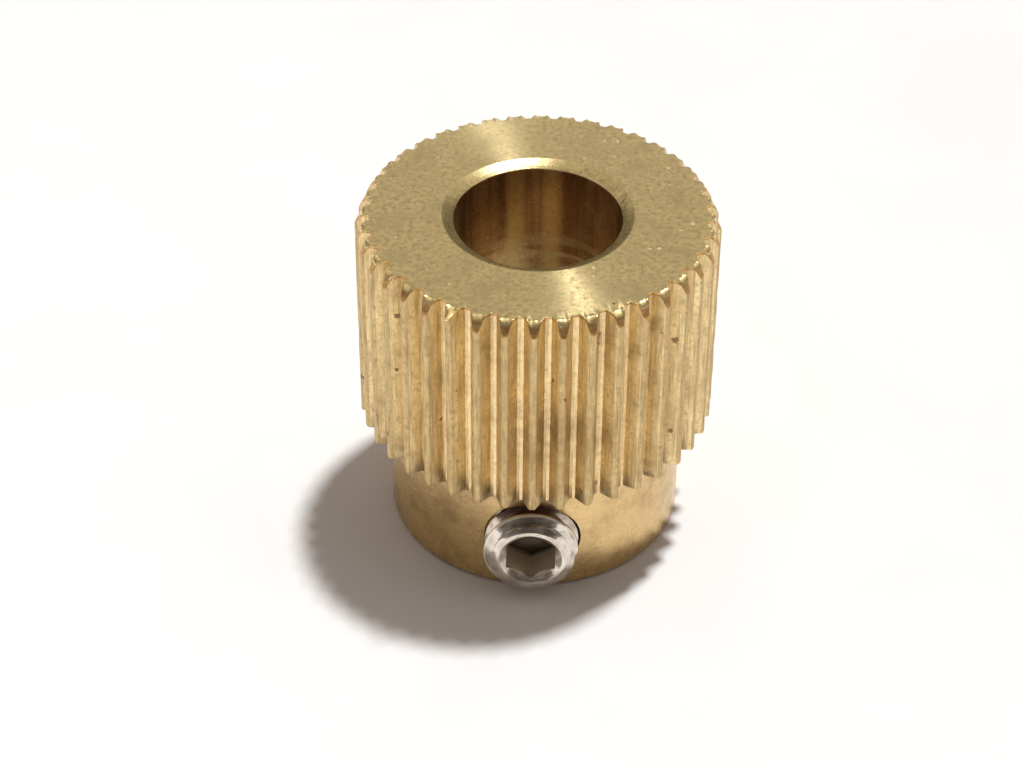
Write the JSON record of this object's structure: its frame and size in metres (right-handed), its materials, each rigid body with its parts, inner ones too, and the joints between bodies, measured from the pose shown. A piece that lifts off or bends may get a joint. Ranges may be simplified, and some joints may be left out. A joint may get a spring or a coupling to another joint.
{
  "type": "extruder drive gear",
  "caption": "Toothed brass filament drive gear with a plain hub, held on a motor shaft by a radial set screw with a hex socket.",
  "frame": {"origin": "on the axis of the shaft bore, at the hub's end face, on which the gear stands", "axes": "+Z along the shaft bore, from the hub's end face towards the toothed end; -Y out of the hub along the set screw; +X to the right when the set screw faces the viewer"},
  "size_m": [0.011, 0.011, 0.011],
  "materials": {
    "brass": "turned and cut brass, satin, with fine tool marks",
    "screw_steel": "bright nickel-plated steel"
  },
  "bodies": {
    "gear": {"drive_gear": "brass"},
    "screw": {"set_screw": "screw_steel"}
  },
  "joints": [
    {"name": "set_screw_travel", "type": "slide", "parent": "gear", "child": "screw", "axis": [0, -1, 0], "range_m": [-0.00056, 0.002]}
  ]
}
